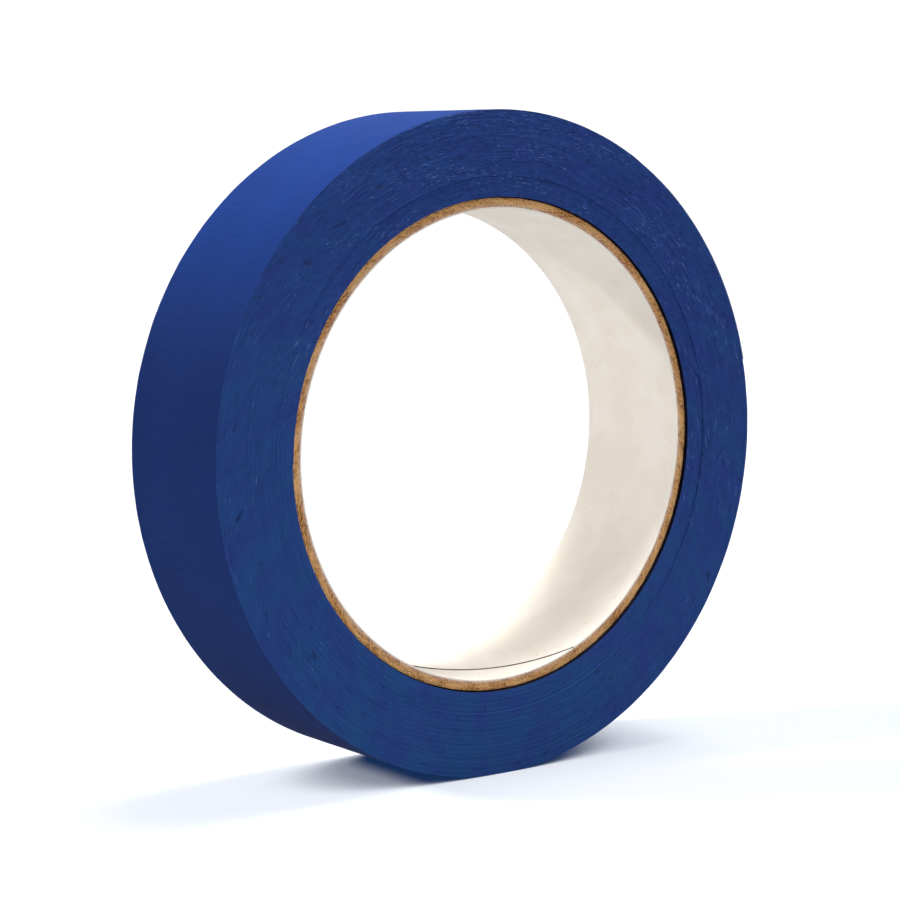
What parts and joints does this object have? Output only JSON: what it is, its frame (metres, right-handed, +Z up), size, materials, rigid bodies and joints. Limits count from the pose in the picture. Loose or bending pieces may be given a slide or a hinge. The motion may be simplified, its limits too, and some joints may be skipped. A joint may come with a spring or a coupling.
{
  "type": "masking tape roll",
  "caption": "Roll of blue crepe paper masking tape wound on a laminated cardboard core, with a free end that peels off the outside.",
  "frame": {"origin": "centre of the bore, halfway across the width of the tape", "axes": "+Y along the axis of the bore towards the back face, +Z up with the roll standing on its edge, +X to the right as seen from the front"},
  "size_m": [0.1075, 0.0255, 0.1075],
  "materials": {
    "liner_paper": "matte",
    "chipboard": "matte",
    "kraft_paper": "matte",
    "blue_crepe": "satin",
    "adhesive": "satin"
  },
  "bodies": {
    "roll": {"core_liner": "liner_paper", "core_ply_inner": "chipboard", "core_ply_middle": "chipboard", "core_ply_outer": "chipboard", "core_wrap": "kraft_paper", "tape_inner_turns": "blue_crepe", "tape_middle_turns": "blue_crepe", "tape_outer_turns": "blue_crepe"},
    "flap_1": {"free_end_1": "blue_crepe", "free_end_adhesive_1": "adhesive"},
    "flap_2": {"free_end_2": "blue_crepe", "free_end_adhesive_2": "adhesive"},
    "flap_3": {"free_end_3": "blue_crepe", "free_end_adhesive_3": "adhesive"},
    "flap_4": {"free_end_4": "blue_crepe", "free_end_adhesive_4": "adhesive"},
    "flap_5": {"free_end_5": "blue_crepe", "free_end_adhesive_5": "adhesive"},
    "flap_6": {"free_end_6": "blue_crepe", "free_end_adhesive_6": "adhesive"}
  },
  "joints": [
    {"name": "peel", "type": "hinge", "parent": "roll", "child": "flap_1", "pos_m": [0.03318, 0, 0.04242], "axis": [0, -1, 0], "range_deg": [0, 80]},
    {"name": "curl_2", "type": "hinge", "parent": "flap_1", "child": "flap_2", "pos_m": [0.03784, 0, 0.03832], "axis": [0, -1, 0], "range_deg": [0, 10]},
    {"name": "curl_3", "type": "hinge", "parent": "flap_2", "child": "flap_3", "pos_m": [0.042, 0, 0.03371], "axis": [0, -1, 0], "range_deg": [0, 10]},
    {"name": "curl_4", "type": "hinge", "parent": "flap_3", "child": "flap_4", "pos_m": [0.0456, 0, 0.02866], "axis": [0, -1, 0], "range_deg": [0, 10]},
    {"name": "curl_5", "type": "hinge", "parent": "flap_4", "child": "flap_5", "pos_m": [0.0486, 0, 0.02322], "axis": [0, -1, 0], "range_deg": [0, 10]},
    {"name": "curl_6", "type": "hinge", "parent": "flap_5", "child": "flap_6", "pos_m": [0.05095, 0, 0.01747], "axis": [0, -1, 0], "range_deg": [0, 10]}
  ],
  "couplings": [
    {"joint": "curl_2", "follows": "peel", "ratio": 0.125},
    {"joint": "curl_3", "follows": "peel", "ratio": 0.125},
    {"joint": "curl_4", "follows": "peel", "ratio": 0.125},
    {"joint": "curl_5", "follows": "peel", "ratio": 0.125},
    {"joint": "curl_6", "follows": "peel", "ratio": 0.125}
  ]
}
